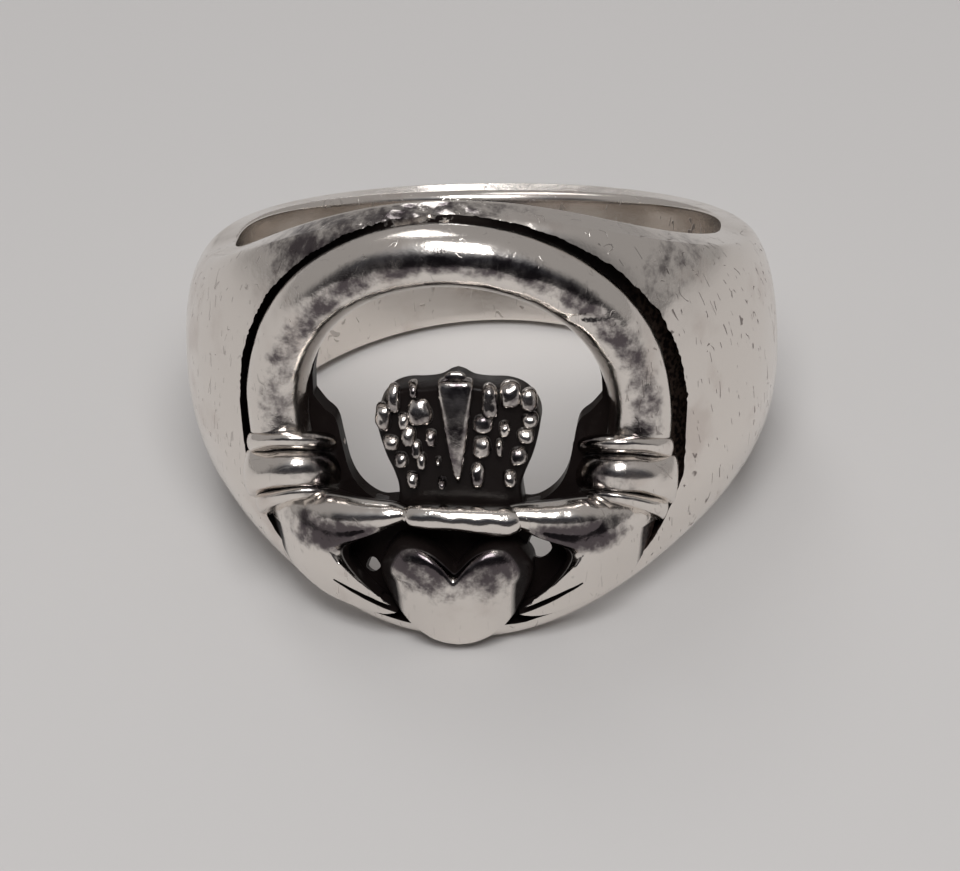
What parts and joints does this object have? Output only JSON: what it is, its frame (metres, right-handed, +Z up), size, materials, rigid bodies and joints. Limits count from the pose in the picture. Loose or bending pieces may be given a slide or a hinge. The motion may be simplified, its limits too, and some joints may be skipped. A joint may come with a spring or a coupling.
{
  "type": "claddagh ring",
  "caption": "Cast silver finger ring, a wide domed band with an open arch over two hands that hold a crowned heart, plain tapered shank.",
  "frame": {"origin": "middle of the ring's box at floor level, where the ring lies on its side on its lower rim", "axes": "+Z up from the floor, -Y where the face with the heart looks, +X to the right of a viewer of the face"},
  "size_m": [0.0228, 0.024, 0.0161],
  "materials": {
    "silver": "polished sterling silver, worn and finely scratched, blackened in the recesses"
  },
  "bodies": {
    "root": {"ring": "silver"}
  },
  "joints": []
}
